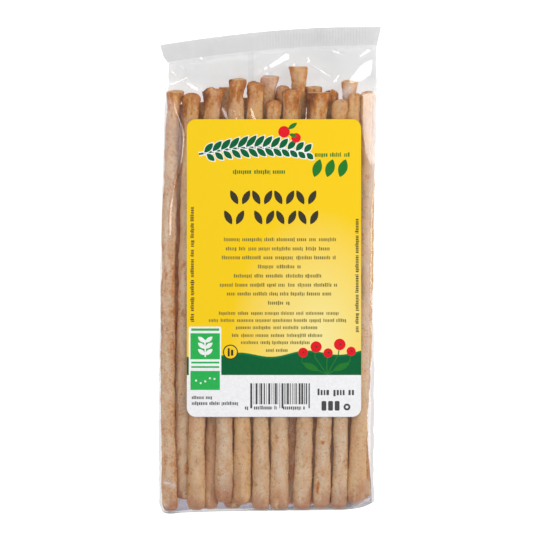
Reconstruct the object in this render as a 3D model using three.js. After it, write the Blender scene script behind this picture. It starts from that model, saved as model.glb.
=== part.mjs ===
// A clear film bag of grissini lying on its back, with its printed label on top.
//
// Millimetres. X runs across the pack, Y along the sticks towards the top seal, and Z up from the
// surface that the pack lies on. The origin is the middle of the pack's footprint.
// The bag is one closed solid out to its film, with the sticks showing as ridges in it.

import * as THREE from 'three';

const { clamp, lerp, smoothstep } = THREE.MathUtils;

// ---- Driving dimensions ----
const crestHeight = 17.25; // the film over the front row of sticks
const bottomEnd = -120; // the closed end, at the middle of its width
const topEnd = 119.1; // the free edge of the top seal, at the middle of its width
const cornerRadius = 4.5; // the film wrapped round the outermost sticks
const slimmest = 0.49; // a corner's radius as a share of the thickness, where the bag is thin
const endRounding = 8.5; // how far the closed end is rounded over the stick ends
const endShape = 2.4; // exponent of the rounding: 2 is an ellipse, and more is squarer
const endMiddle = 7.8; // height of the rounded end's nose
const noseThickness = 1.4; // what is left of the thickness at the nose

// The top seal: a flat band of film that hangs free of the surface.
const sealDepth = 8.9;
const sealHeight = 4.4;
const sealThickness = 0.4;
const sealSwing = 0.9; // how far the band waves up and down
const sealWaveLength = 78;
const sealWaveStart = -12;

// Between the sticks and the seal the front film falls and the back film rises.
const slackTop = topEnd - sealDepth;
const fallStart = 85;
const tipFollowing = 0.5; // how closely the fall's start follows the stick tips
const tipRounding = 3.5;
const fallPower = 2; // how full the slope is
const riseReach = 24; // how far from the seal the back film starts to rise

// Stations between which the straight middle of the pack turns into the line of each end.
const closedEndTurn = [-85, -118];
const sealEndTurn = [70, 108];

// Ridges of the two rows of sticks.
const openValley = 1.15; // depth of the film between two sticks
const labelledValley = 0.35; // the same, where the label bridges them
const backValley = 0.8;
const backPitch = 9.2;
const backLean = 0.02; // how far the back row leans to the right for each mm of length
const ridgeMargin = 0.5; // the least distance between two ridge lines
const columnsBetween = 4; // faces across from one ridge to the next
const columnsBeside = 2; // faces across from a corner to the first ridge

// The label, stuck over the front film.
const labelSize = { width: 87, height: 148.5, thickness: 0.3, radius: 4.5 };
const labelMiddle = { x: 2, y: 1 };
const labelClearance = 0.05;

// The front row of sticks: [x, y] of each one's foot and tip.
const frontSticks = [
  { foot: [-50.8, -119.5], tip: [-47, 90] },
  { foot: [-43.5, -114.5], tip: [-39, 88] },
  { foot: [-36.5, -119.2], tip: [-28.5, 91] },
  { foot: [-24, -114.5], tip: [-15.5, 96] },
  { foot: [-14, -116.7], tip: [-7, 94] },
  { foot: [-5, -119.2], tip: [1.5, 85] },
  { foot: [5, -119.2], tip: [10.5, 90] },
  { foot: [15.7, -119.2], tip: [24.5, 89] },
  { foot: [25.5, -118.8], tip: [36, 85] },
  { foot: [35, -118.8], tip: [42.5, 88] },
  { foot: [44.5, -117], tip: [48.3, 90] },
];

// The bag's outline from above: x of its sides at each station, and y of its closed end at each x.
const leftSide = [
  [-120, -54], [-117, -55.2], [-110, -55.45], [-75, -55.4], [-35, -55], [5, -54.6],
  [50, -53.2], [90, -51.8], [104, -51.3], [110, -51.4], [114, -53.6], [119.1, -54.5],
];
const rightSide = [
  [-120, 52.3], [-114, 52.1], [-104, 51.5], [-75, 51.7], [2, 51.7], [50, 52.25],
  [72, 52.8], [95, 53.3], [108, 53.2], [114, 54.4], [119.1, 55.45],
];
const closedEnd = [
  [-55.5, -118.4], [-53.5, -120.5], [-50, -121.25], [-45, -121], [-36, -120.2], [0, -120],
  [20, -119.6], [38, -119.4], [44, -118.8], [48, -118], [52.3, -116],
];

// The seal's edge rises across the pack, and bends down again at its right end.
const sealRise = (x) => 0.0841 * x - 0.00077 * x * x;

// Folds in the front film: low ridges from one [x, y] to another.
const folds = [
  { from: [-51, 88], to: [-40, 72], height: 1.3, width: 2.6 },
  { from: [-36, 108], to: [-27, 97], height: 1.5, width: 2.8 },
  { from: [-18, 109], to: [-12, 99], height: 1.1, width: 2.6 },
  { from: [-3, 100], to: [9, 108], height: 1.6, width: 2.6 },
  { from: [19, 107], to: [31, 95], height: 1.7, width: 2.8 },
  { from: [50, 104], to: [36, 89], height: 1.9, width: 3 },
];

// Stations along the pack where its section is drawn: [from, to, number of steps].
const roundedSteps = 6;
const stationRuns = [
  [-111.5, -77, 6], [-77, -70, 2], [-70, 73, 12], [73, 80, 3], [80, slackTop, 16],
  [slackTop, topEnd, 4],
];

// ---- Curves ----

// A smooth curve through the points of a short list, without overshoot.
function smoothThrough(points, t) {
  const last = points.length - 1;
  if (t <= points[0][0]) return points[0][1];
  if (t >= points[last][0]) return points[last][1];
  const slope = (i) => (points[i + 1][1] - points[i][1]) / (points[i + 1][0] - points[i][0]);
  const tangent = (i) => {
    if (i === 0) return slope(0);
    if (i === last) return slope(last - 1);
    const [before, after] = [slope(i - 1), slope(i)];
    return before * after > 0 ? (2 * before * after) / (before + after) : 0;
  };
  const i = points.findIndex((point) => point[0] > t) - 1;
  const span = points[i + 1][0] - points[i][0];
  const s = (t - points[i][0]) / span;
  const level = lerp(points[i][1], points[i + 1][1], s * s * (3 - 2 * s));
  const leaving = s * (1 - s) * (1 - s) * span * tangent(i);
  const arriving = s * s * (s - 1) * span * tangent(i + 1);
  return level + leaving + arriving;
}

const ramp = (from, to, t) => (from < to ? smoothstep(t, from, to) : 1 - smoothstep(t, to, from));

// ---- The form of the bag ----

// The outline is straight across at a station in the middle, and follows the two ends near them.
function yAt(x, station) {
  const top = ramp(...sealEndTurn, station) * sealRise(x);
  const bottom = ramp(...closedEndTurn, station) * (smoothThrough(closedEnd, x) - bottomEnd);
  return station + top + bottom;
}

// The closed end is rounded: 0 at the nose and 1 where the section is full.
function endFullness(station) {
  const reach = clamp((station - bottomEnd) / endRounding, 0, 1);
  return Math.pow(1 - Math.pow(1 - reach, endShape), 1 / endShape);
}

function sealLevel(x) {
  return sealHeight + sealSwing * Math.sin((2 * Math.PI * (x - sealWaveStart)) / sealWaveLength);
}

function backHeight(x, station, valley) {
  const full = endFullness(station);
  const closed = ramp(slackTop - riseReach, slackTop + 1, station);
  const nose = (endMiddle - noseThickness / 2) * (1 - full);
  return nose + sealLevel(x) * closed + backValley * valley * full * (1 - closed);
}

// How far the front film has fallen from the sticks to the seal, from 0 to 1.
function fallAt(x, station) {
  const tipLine = smoothThrough(frontSticks.map((stick) => stick.tip), x) - tipRounding;
  const start = lerp(fallStart, tipLine, tipFollowing);
  return clamp((station - start) / (slackTop - start), 0, 1);
}

function foldHeight(x, y) {
  let height = 0;
  for (const fold of folds) {
    const from = new THREE.Vector2(...fold.from);
    const run = new THREE.Vector2(...fold.to).sub(from);
    const offset = new THREE.Vector2(x, y).sub(from);
    const along = offset.dot(run) / run.lengthSq();
    const beside = offset.cross(run) / run.length();
    const kept = ramp(-0.12, 0.2, along) * ramp(1.12, 0.8, along);
    height += fold.height * kept * Math.exp(-Math.pow(beside / fold.width, 2));
  }
  return height;
}

function underLabel(y) {
  const half = labelSize.height / 2;
  return ramp(half + 3, half - 2, Math.abs(y - labelMiddle.y));
}

function frontHeight(x, station, valley) {
  const y = yAt(x, station);
  const full = endFullness(station);
  const fallen = fallAt(x, station);
  const nose = endMiddle + noseThickness / 2;
  const seal = sealLevel(x) + sealThickness;
  const body = seal + (crestHeight - seal) * (1 - Math.pow(fallen, fallPower));
  const depth = lerp(openValley, labelledValley, underLabel(y)) * ramp(0.45, 0, fallen);
  const loose = foldHeight(x, y) * ramp(0, 0.12, fallen) * ramp(1, 0.86, fallen);
  return lerp(nose, body, full) - depth * valley * full + loose;
}

// ---- The bag's mesh ----

// Columns across one face: from a corner over every stick to the other corner. Each has its x, and
// how deep it lies in the valley between two sticks, from 0 to 1.
function columnsOver(middles, left, right, valleyShape) {
  const knots = [left, ...middles, right];
  const columns = [];
  for (let i = 0; i + 1 < knots.length; i += 1) {
    const beside = i === 0 || i + 2 === knots.length;
    const steps = beside ? columnsBeside : columnsBetween;
    for (let k = 0; k < steps; k += 1) {
      const t = k / steps;
      columns.push({ x: lerp(knots[i], knots[i + 1], t), valley: beside ? 0 : valleyShape(t) });
    }
  }
  columns.push({ x: right, valley: 0 });
  return columns;
}

const roundValley = (t) => (1 - Math.cos(2 * Math.PI * t)) / 2;
const narrowValley = (t) => (t === 0.5 ? 1 : 0); // leaves flat strips that the pack rests on

function frontMiddles(station, left, right) {
  return frontSticks.map(({ foot, tip }, i) => {
    const x = lerp(foot[0], tip[0], (station - foot[1]) / (tip[1] - foot[1]));
    return clamp(x, left + ridgeMargin * (i + 1), right - ridgeMargin * (frontSticks.length - i));
  });
}

function backMiddles(station) {
  const middle = (frontSticks.length - 1) / 2;
  return frontSticks.map((stick, i) => (i - middle) * backPitch + backLean * station);
}

// One closed section: up the left side, over the front, down the right side and under the back.
function sectionAt(station) {
  const left = smoothThrough(leftSide, station);
  const right = smoothThrough(rightSide, station);
  const radiusAt = (x) => {
    const thickness = frontHeight(x, station, 0) - backHeight(x, station, 0);
    return Math.min(cornerRadius, slimmest * thickness);
  };
  const leftRadius = radiusAt(left);
  const rightRadius = radiusAt(right);
  const [fromX, toX] = [left + leftRadius, right - rightRadius];
  const front = columnsOver(frontMiddles(station, fromX, toX), fromX, toX, roundValley)
    .map(({ x, valley }) => [x, frontHeight(x, station, valley)]);
  const back = columnsOver(backMiddles(station), fromX, toX, narrowValley)
    .map(({ x, valley }) => [x, backHeight(x, station, valley)]);

  const corner = (edge, inward, radius, level, upward) => [90, 60, 30].map((degrees) => {
    const angle = THREE.MathUtils.degToRad(degrees);
    const x = edge + inward * radius * (1 - Math.sin(angle));
    return [x, level - upward * radius * (1 - Math.cos(angle))];
  });
  const [frontLeft, frontRight] = [front[0][1], front[front.length - 1][1]];
  const [backLeft, backRight] = [back[0][1], back[back.length - 1][1]];
  return [
    ...corner(left, 1, leftRadius, backLeft, -1).reverse(),
    ...corner(left, 1, leftRadius, frontLeft, 1),
    ...front,
    ...corner(right, -1, rightRadius, frontRight, 1).reverse(),
    ...corner(right, -1, rightRadius, backRight, -1),
    ...back.reverse(),
  ].map(([x, z]) => new THREE.Vector3(x, yAt(x, station), z));
}

function stations() {
  const list = [];
  for (let k = 0; k < roundedSteps; k += 1) {
    list.push(bottomEnd + endRounding * (1 - Math.cos((k / roundedSteps) * Math.PI / 2)));
  }
  for (const [from, to, steps] of stationRuns) {
    for (let k = 0; k < steps; k += 1) list.push(lerp(from, to, k / steps));
  }
  list.push(topEnd);
  return list;
}

function bagGeometry() {
  const sections = stations().map(sectionAt);
  const around = sections[0].length;
  const indices = [];
  for (let s = 0; s + 1 < sections.length; s += 1) {
    for (let k = 0; k < around; k += 1) {
      const next = (k + 1) % around;
      const [a, b] = [s * around + k, s * around + next];
      const [c, d] = [a + around, b + around];
      indices.push(a, b, c, b, d, c);
    }
  }
  const lastSection = (sections.length - 1) * around;
  closeEnd(indices, 0, around, true);
  closeEnd(indices, lastSection, around, false);
  const geometry = new THREE.BufferGeometry().setFromPoints(sections.flat());
  geometry.setIndex(indices);
  geometry.computeVertexNormals();
  return geometry;
}

// An end is closed by a strip between its front half and its back half.
function closeEnd(indices, first, around, asListed) {
  let [ahead, behind] = [first, first + around - 1];
  while (behind - ahead > 1) {
    const [a, b, c, d] = [ahead, ahead + 1, behind, behind - 1];
    const faces = behind - ahead > 2 ? [[a, c, b], [b, c, d]] : [[a, c, b]];
    for (const face of faces) indices.push(...(asListed ? face : face.reverse()));
    ahead += 1;
    behind -= 1;
  }
}

// ---- The label's mesh ----

function labelGeometry() {
  const { width, height, thickness, radius } = labelSize;
  const [right, top] = [width / 2, height / 2];
  const outline = new THREE.Shape();
  outline.moveTo(-right + radius, -top);
  outline.lineTo(right - radius, -top);
  outline.absarc(right - radius, -top + radius, radius, -Math.PI / 2, 0);
  outline.lineTo(right, top - radius);
  outline.absarc(right - radius, top - radius, radius, 0, Math.PI / 2);
  outline.lineTo(-right + radius, top);
  outline.absarc(-right + radius, top - radius, radius, Math.PI / 2, Math.PI);
  outline.lineTo(-right, -top + radius);
  outline.absarc(-right + radius, -top + radius, radius, Math.PI, Math.PI * 1.5);
  return new THREE.ExtrudeGeometry(outline, { depth: thickness, bevelEnabled: false, curveSegments: 6 });
}

// ---- The pack ----

const filmOverSticks = new THREE.MeshStandardMaterial({ color: '#d9ad72', roughness: 0.35, metalness: 0 });
const labelPaper = new THREE.MeshStandardMaterial({ color: '#fad428', roughness: 0.5, metalness: 0 });

const bag = new THREE.Mesh(bagGeometry(), filmOverSticks);
bag.name = 'bag';

const label = new THREE.Mesh(labelGeometry(), labelPaper);
label.name = 'label';
label.position.set(labelMiddle.x, labelMiddle.y, crestHeight + labelClearance);

const pack = new THREE.Group();
pack.add(bag, label);

export default pack;
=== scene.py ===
"""The looks of a clear film bag of grissini with a printed label, built round its CAD frame.

Shapes are worked out in millimetres, in the frame's axes: X across the pack, Y along the sticks
towards the top seal and Z up from the surface it lies on. make_mesh turns them into metres.
"""

import math
from collections import namedtuple

import bpy
import numpy as np
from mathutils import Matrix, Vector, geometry


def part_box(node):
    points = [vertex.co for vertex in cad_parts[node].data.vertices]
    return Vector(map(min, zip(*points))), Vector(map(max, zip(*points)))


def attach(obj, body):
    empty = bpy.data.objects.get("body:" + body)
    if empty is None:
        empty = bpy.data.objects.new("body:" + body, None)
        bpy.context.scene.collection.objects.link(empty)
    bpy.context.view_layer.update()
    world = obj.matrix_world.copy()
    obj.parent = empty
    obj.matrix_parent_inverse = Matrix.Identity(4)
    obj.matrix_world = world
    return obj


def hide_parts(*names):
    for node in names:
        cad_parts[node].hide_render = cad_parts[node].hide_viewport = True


MM = 0.001

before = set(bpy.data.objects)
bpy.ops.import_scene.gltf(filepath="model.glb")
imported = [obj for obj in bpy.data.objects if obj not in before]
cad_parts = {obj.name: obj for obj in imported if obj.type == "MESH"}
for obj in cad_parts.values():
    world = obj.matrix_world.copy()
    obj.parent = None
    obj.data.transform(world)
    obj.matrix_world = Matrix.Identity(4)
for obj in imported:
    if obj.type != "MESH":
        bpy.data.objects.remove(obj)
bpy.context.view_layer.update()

# ---- Driving dimensions, in millimetres ----
LABEL_LOW, LABEL_HIGH = (np.array(corner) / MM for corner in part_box("label"))
CREST = LABEL_LOW[2] - 0.05  # the film over the front row of sticks
BOTTOM_END, TOP_END = -120.0, 120.0
CORNER_RADIUS = 2.8
END_ROUNDING, END_SHAPE, END_MIDDLE, NOSE = 6.0, 2.8, 7.8, 1.4
SEAL_DEPTH, SEAL_HEIGHT, SEAL_THICKNESS = 9.2, 4.4, 0.4
SEAL_SWING, SEAL_WAVE, SEAL_WAVE_START = 0.9, 78.0, -12.0
SLACK_TOP = TOP_END - SEAL_DEPTH
FALL_START, TIP_FOLLOWING, TIP_ROUNDING, FALL_POWER = 85.0, 0.5, 3.5, 2.0
RISE_REACH = 24.0
BACK_VALLEY, BACK_PITCH, BACK_LEAN = 0.8, 9.2, 0.02

LEFT_SIDE = [
    (-120, -54), (-117, -55.2), (-110, -55.5), (-75, -55.6), (-35, -55.3), (5, -54.9),
    (45, -53.8), (85, -52.4), (94, -51.8), (104, -51.3), (110, -51.4), (114, -53.6), (120, -55.2),
]
RIGHT_SIDE = [
    (-120, 52.3), (-114, 52.1), (-104, 51.7), (-75, 52.0), (2, 52.3), (50, 53.0),
    (72, 53.5), (95, 53.8), (108, 53.4), (114, 54.6), (120, 55.9),
]
CLOSED_END = [
    (-55.5, -119.2), (-53.5, -121.5), (-50, -122.2), (-45, -121.7), (-36, -120.8), (0, -120.6),
    (20, -120.4), (38, -120.1), (44, -119.4), (48, -118.3), (52.3, -116),
]

# The sticks. foot and tip are (x, y) of the two ends, and knee is the x of the middle line at
# KNEE_LEVEL; middle has further points (y, x) of that line. radius is that of the body and wide that
# of the tip; neck is how far the body narrows under the tip. tone runs from pale to golden, browning
# says how dark the tip is baked, and bake how much darker the whole stick is: painted shade or, when
# negative, painted light that evens out how the lamps fall on it. sink is how far the foot and the
# tip lie under their row. bevel is how far a cut tip leans back.
KNEE_LEVEL = -80.0
Stick = namedtuple("Stick", "row foot knee tip radius wide neck end tone browning sink bevel bake middle",
                   defaults=((0, 0), 0.6, 0.0, ()))
STICKS = [
    Stick("front", (-51.3, -120.5), -51.5, (-46.8, 90.8), 3.4, 4.2, 0.10, "cut", 0.20, 0.36,
          (0, 4.2), 2.0, 0.16, ((-40, -51.4), (0, -51.1), (40, -50.8))),
    Stick("front", (-44.0, -115.0), -43.2, (-39.0, 88.8), 3.80, 5.2, 0.00, "round", 0.25, 0.65,
          (3.8, 0.8), 0.6, 0.0, ((-56, -41.6), (-16, -41.5), (33, -41.2))),
    Stick("front", (-36.6, -120.1), -38.3, (-28.4, 91.4), 4.15, 6.0, 0.03, "lobed", 0.45, 0.80),
    Stick("front", (-24.0, -116.4), -23.9, (-15.4, 96.6), 4.1, 4.4, 0.22, "cut", 0.10, 0.80, (0, 0), 1.4),
    Stick("front", (-13.1, -117.4), -14.4, (-6.8, 94.4), 4.2, 4.8, 0.06, "lobed", 0.75, 0.70),
    Stick("front", (-3.9, -120.1), -5.0, (1.9, 85.2), 4.15, 4.6, 0.06, "round", 0.30, 0.65),
    Stick("front", (5.2, -120.1), 4.5, (12.0, 90.8), 4.4, 5.7, 0.02, "lobed", 0.15, 0.75),
    Stick("front", (15.0, -120.1), 17.5, (23.7, 89.4), 4.2, 6.0, -0.06, "cut", 0.20, 1.05),
    Stick("front", (24.9, -119.4), 26.5, (37.6, 85.6), 3.8, 5.2, -0.04, "round", 0.15, 0.22),
    Stick("front", (34.6, -119.7), 35.0, (43.6, 88.7), 3.7, 3.4, 0.02, "lobed", 0.05, 0.45, (0, 3.4)),
    Stick("front", (43.2, -117.0), 43.7, (48.7, 89.8), 4.3, 4.0, 0.06, "round", 0.65, 0.15,
          (0, 2.6), 0.6, 0.0, ((-56, 46.4), (-20, 47.6), (50, 48.4))),
    Stick("back", (-51.4, -116.5), -51.0, (-43.0, 83.5), 3.6, 4.2, 0.00, "round", 0.60, 0.90,
          (0, 0), 0.6, 0.2, ((-30, -48.6), (30, -47.6))),
    Stick("back", (-34.0, -115.0), -33.0, (-33.0, 84.5), 4.0, 4.2, 0.00, "round", 0.50, 0.90),
    Stick("back", (-30.2, -119.8), -30.4, (-20.6, 92.4), 3.4, 4.2, 0.10, "cut", 0.60, 0.70,
          (-5.0, 0), 0.6, -0.25),
    Stick("back", (-19.4, -119.8), -19.5, (-11.5, 87.0), 4.1, 4.0, 0.00, "cut", 0.60, 0.70, (-1, 0)),
    Stick("back", (-10.0, -117.0), -10.0, (1.8, 98.4), 4.2, 4.5, 0.12, "cut", 0.20, 0.40, (0, 0), 2.0),
    Stick("back", (-0.6, -117.5), -0.6, (6.3, 92.8), 4.0, 3.9, 0.08, "round", 0.30, 0.50),
    Stick("back", (10.5, -117.5), 10.8, (13.9, 102.6), 4.0, 4.6, 0.12, "cut", 0.25, 0.32, (-2, 0), 0.5),
    Stick("back", (21.8, -117.5), 21.8, (22.4, 93.0), 4.1, 4.1, 0.06, "cut", 0.40, 0.50, (-1, 0), 1.6),
    Stick("back", (29.8, -117.5), 29.6, (31.3, 90.8), 3.9, 3.9, 0.00, "lobed", 0.50, 1.00),
    Stick("back", (38.4, -117.5), 37.4, (41.2, 95.8), 3.5, 4.2, 0.10, "cut", 0.20, 0.40,
          (0, 0), 1.6, -0.15),
    Stick("back", (46.7, -115.0), 44.6, (47.6, 84.0), 3.3, 3.5, 0.00, "round", 0.20, 0.40,
          (-1, 0), 0.6, -0.15),
]

# Dark spots on a stick: its number, where along Y, the turn round it from the top, and how far the
# spot reaches along and round the stick.
Scorch = namedtuple("Scorch", "number y turn long wide")
SCORCHES = [
    Scorch(18, 95.0, -0.96, 2.6, 1.3), Scorch(20, 89.6, -0.7, 1.2, 1.2),
    Scorch(4, -110.6, -0.6, 2.2, 1.0), Scorch(9, -86.0, -0.1, 1.0, 1.4),
    Scorch(9, -108.0, -0.5, 4.0, 0.9), Scorch(5, 86.0, -1.0, 4.0, 1.2),
    Scorch(3, 86.5, -0.5, 2.4, 0.8), Scorch(7, 84.0, 0.8, 3.0, 1.0),
    Scorch(2, -101.0, 0.6, 4.0, 1.2),
]

# The film slopes down to the pack's left and right edges from two lines, (y, x) each.
SHOULDER_SLOPE = 0.414
LEFT_SHOULDER = [(-40, -60), (3.5, -50.5), (23.4, -49.6), (33.4, -49.1), (43.4, -47.4), (53.4, -44.4),
                 (63.4, -43.2), (67.3, -43.1), (71.3, -43.9), (75.3, -45.4), (79.3, -46.9), (85.3, -48.6),
                 (87.5, -51.5), (90, -58)]
RIGHT_SHOULDER = [(-40, 62), (30, 60), (48, 53), (56, 47.5), (62, 45.6), (80, 45.2), (112, 45.2)]

# A flat facet of the film over the right-hand tips: a point on it and its slopes along X and Y. It
# ends a little short of the bag's side, and above the front row's tips.
FACET_POINT, FACET_SLOPES = (43.4, 94.8, 13.95), (-0.38, -0.20)
FACET_SIDE, FACET_TURN = 50.9, (84.0, 90.0)
FACET_LOW, FACET_LIFT = (90.4, 91.6), 2.5

# Small folds in the film that catch a light: a flat patch from one (x, y) to another, with its half
# width at each end, which faces the softbox on one side of the pack.
Patch = namedtuple("Patch", "start end wide_start wide_end faces")
LEFT, RIGHT = -1, 1
PATCHES = [
    Patch((-1.6, 100.8), (9.4, 107.6), 1.0, 1.9, RIGHT),
    Patch((-3.0, 100.4), (-1.4, 101.6), 0.9, 0.8, RIGHT),
    Patch((-5.6, 103.6), (-5.4, 101.8), 0.35, 0.5, LEFT),
    Patch((-5.6, 99.8), (-5.9, 97.6), 0.7, 0.5, LEFT),
    Patch((-36.2, 107.6), (-33.4, 105.2), 0.2, 0.7, RIGHT),
    Patch((18.6, 106.6), (20.2, 102.8), 0.7, 0.5, RIGHT),
    Patch((20.2, 102.8), (31.8, 95.8), 0.3, 0.45, RIGHT),
    Patch((32.2, 94.2), (35.0, 97.6), 0.9, 0.3, RIGHT),
    Patch((25.0, 96.4), (26.6, 94.2), 0.4, 0.6, LEFT),
    Patch((30.4, 110.4), (36.6, 107.8), 0.35, 0.3, RIGHT),
    Patch((45.0, 107.0), (50.0, 110.4), 0.5, 1.2, RIGHT),
    Patch((-49.5, 96.6), (-40.0, 99.6), 0.4, 0.3, LEFT),
    Patch((-50.2, 92.6), (-41.0, 96.2), 0.45, 0.1, RIGHT),
    Patch((-42.0, 103.8), (-39.4, 101.2), 0.3, 0.3, LEFT),
    Patch((-42.3, 93.7), (-35.4, 89.8), 0.4, 1.0, RIGHT),
    Patch((-50.6, 100.4), (-46.8, 97.6), 0.2, 0.35, RIGHT),
    Patch((-46.0, 103.4), (-41.4, 99.8), 0.3, 0.2, RIGHT),
]

# Sharp creases where the film lies on the sticks: the points they run through and their width at
# each end. Each tilts the film so that it catches the right-hand softbox.
Crease = namedtuple("Crease", "points start end")
CREASES = [
    Crease([(-51.5, 87.5), (-48.4, 85.3), (-46.9, 79.3), (-45.4, 75.3), (-43.9, 71.3), (-43.1, 67.3),
            (-43.2, 63.4), (-44.4, 53.4), (-47.4, 43.4), (-49.1, 33.4), (-49.7, 23.4), (-49.8, 8.0)],
           1.5, 2.0),
    Crease([(-24.2, 81.6), (-22.6, 78.4), (-20.6, 74.0)], 1.6, 3.4),
    Crease([(-18.1, 80.6), (-16.7, 74.0)], 1.3, 2.6),
    Crease([(-9.6, 81.2), (-7.6, 74.0)], 1.3, 2.8),
]

# Painted sheen: white laid into the film where it would mirror a broad light, from one (x, y) to another,
# how wide, and their share of white.
SheenStreak = namedtuple("SheenStreak", "start end wide share")
SHEEN_STREAKS = [
    SheenStreak((-1.6, 96.5), (2.6, 92.5), 3.4, 0.16), SheenStreak((37.4, 88.2), (40.0, 90.6), 2.4, 0.34),
    SheenStreak((-55.0, -105.2), (-48.0, -107.6), 1.1, 0.40), SheenStreak((-54.4, -116.8), (-51.6, -117.6), 0.8, 0.3),
    SheenStreak((42.5, -118.8), (53.0, -113.4), 2.0, 0.38), SheenStreak((44.6, -117.2), (52.0, -113.2), 0.4, 0.3),
    SheenStreak((46.0, -119.2), (53.0, -115.6), 0.4, 0.3),
]
# Broader painted sheen: white over the left shoulder, along both sides and down the right of the front
# film, where it would mirror a broad light.
LEFT_SHEEN, LEFT_SHEEN_LEVELS = 0.10, (-25.0, 70.0)  # over the left shoulder
SIDE_SHEEN, SIDE_SHEEN_REACH, SIDE_SHEEN_END = 0.13, 3.0, (88.0, 82.0)  # along both sides
RIGHT_SHEEN, RIGHT_SHEEN_REACH, RIGHT_SHEEN_LEVELS = 0.42, 6.5, ((-100.0, -60.0), (94.0, 90.0))
MOST_SHEEN = 0.8

# ---- Where the light and the camera stand ----
PHOTO_SIDE = 269.4  # the square that the picture frames, at the height of the label
SENSOR = 36.0
CAMERA_HEIGHT = 1800.0
SOFTBOX = (480.0, 190.0, 480.0)  # the right one; the left one mirrors it
LEFT_SIZE, RIGHT_SIZE = (700.0, 600.0), (460.0, 300.0)
LEFT_LIGHT, RIGHT_LIGHT = 0.80, 5.0
# The fill light is high over the pack. The film doesn't mirror it, or it would be one white sheen.
FILL, FILL_SIZE, FILL_LIGHT = (0.0, -300.0, 1650.0), (400.0, 400.0), 10.9
ROOM_LIGHT, CEILING_LIGHT = 0.50, 0.18
CEILING_SINE = (0.74, 0.93)  # the room darkens between these heights, so that flat film looks clear
FLOOR_GLOW = 0.80  # a light table under the pack
FLOOR_HALF, FLOOR_LEVEL = 3000.0, -0.2


# ---- Curves and noise ----

def smooth_through(points, t):
    """A smooth curve through the points of a short list, without overshoot."""
    at, level = np.array(points, float).T
    t = np.clip(np.asarray(t, float), at[0], at[-1])
    slope = np.diff(level) / np.diff(at)
    before, after = slope[:-1], slope[1:]
    same = before * after > 0
    total = np.where(same, before + after, 1.0)
    inner = np.where(same, 2 * before * after / total, 0.0)
    tangent = np.concatenate([slope[:1], inner, slope[-1:]])
    i = np.clip(np.searchsorted(at, t, side="right") - 1, 0, len(at) - 2)
    span = at[i + 1] - at[i]
    s = (t - at[i]) / span
    blend = s * s * (3 - 2 * s)
    leaving = s * (1 - s) ** 2 * span * tangent[i]
    arriving = s * s * (s - 1) * span * tangent[i + 1]
    return level[i] * (1 - blend) + level[i + 1] * blend + leaving + arriving


def ramp(start, end, t):
    """0 before start and 1 after end, with a smooth turn between them; start may be the larger."""
    s = np.clip((np.asarray(t, float) - start) / (end - start), 0, 1)
    return s * s * (3 - 2 * s)


def lerp(a, b, t):
    return a + (b - a) * t


def waves(rng, count, longest, shortest):
    """A rule for soft noise over a plane: a sum of plane waves of random direction and phase."""
    length = np.exp(rng.uniform(math.log(shortest), math.log(longest), count))
    turn = rng.uniform(0, 2 * math.pi, count)
    phase = rng.uniform(0, 2 * math.pi, count)
    size = length / length.max()
    size /= np.sqrt((size**2).sum() / 2)

    def height(x, y, stretch=1.0):
        total = 0.0
        for l, a, p, s in zip(length, turn, phase, size):
            way = x * math.cos(a) + y * math.sin(a) / stretch
            total = total + s * np.cos(2 * math.pi * way / l + p)
        return total

    return height


# ---- The form of the bag ----
#
# The curves are those of the CAD solid, apart from a fuller closed end and smaller corners. Both
# ends reach 1 mm further than the solid's, and the sides up to 0.8 mm.

SEAL_RISE, SEAL_DROOP = 0.0841, 0.00077  # the top edge rises across the pack and bends down again
SEAL_END_TURN, CLOSED_END_TURN = (70, 108), (-85, -118)  # where the middle turns into each end


def y_at(x, station):
    top = ramp(*SEAL_END_TURN, station) * (SEAL_RISE * x - SEAL_DROOP * x * x)
    bottom = ramp(*CLOSED_END_TURN, station) * (smooth_through(CLOSED_END, x) - BOTTOM_END)
    return station + top + bottom


def sides(station):
    return smooth_through(LEFT_SIDE, station), smooth_through(RIGHT_SIDE, station)


def end_fullness(station):
    reach = np.clip((station - BOTTOM_END) / END_ROUNDING, 0, 1)
    return (1 - (1 - reach) ** END_SHAPE) ** (1 / END_SHAPE)


def seal_level(x):
    return SEAL_HEIGHT + SEAL_SWING * np.sin(2 * math.pi * (x - SEAL_WAVE_START) / SEAL_WAVE)


def back_form(x, station):
    closed = ramp(SLACK_TOP - RISE_REACH, SLACK_TOP + 1, station)
    nose = (END_MIDDLE - NOSE / 2) * (1 - end_fullness(station))
    return nose + seal_level(x) * closed


def fall_at(x, station):
    """How far the front film has fallen from the sticks to the seal, from 0 to 1."""
    tips = [stick.tip for stick in STICKS if stick.row == "front"]
    start = lerp(FALL_START, smooth_through(tips, x) - TIP_ROUNDING, TIP_FOLLOWING)
    return np.clip((station - start) / (SLACK_TOP - start), 0, 1)


def front_form(x, station):
    seal = seal_level(x) + SEAL_THICKNESS
    body = seal + (CREST - seal) * (1 - fall_at(x, station) ** FALL_POWER)
    return lerp(END_MIDDLE + NOSE / 2, body, end_fullness(station))


# ---- Meshes ----

def make_mesh(name, points, faces, materials, face_slots=None, smooth=True):
    """A mesh object from points in millimetres."""
    mesh = bpy.data.meshes.new(name)
    mesh.from_pydata((np.asarray(points, float) * MM).tolist(), [], faces)
    for material in materials:
        mesh.materials.append(material)
    if face_slots is not None:
        mesh.polygons.foreach_set("material_index", face_slots)
    mesh.polygons.foreach_set("use_smooth", [smooth] * len(mesh.polygons))
    mesh.validate()
    mesh.update()
    piece = bpy.data.objects.new(name, mesh)
    bpy.context.scene.collection.objects.link(piece)
    return piece


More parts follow.
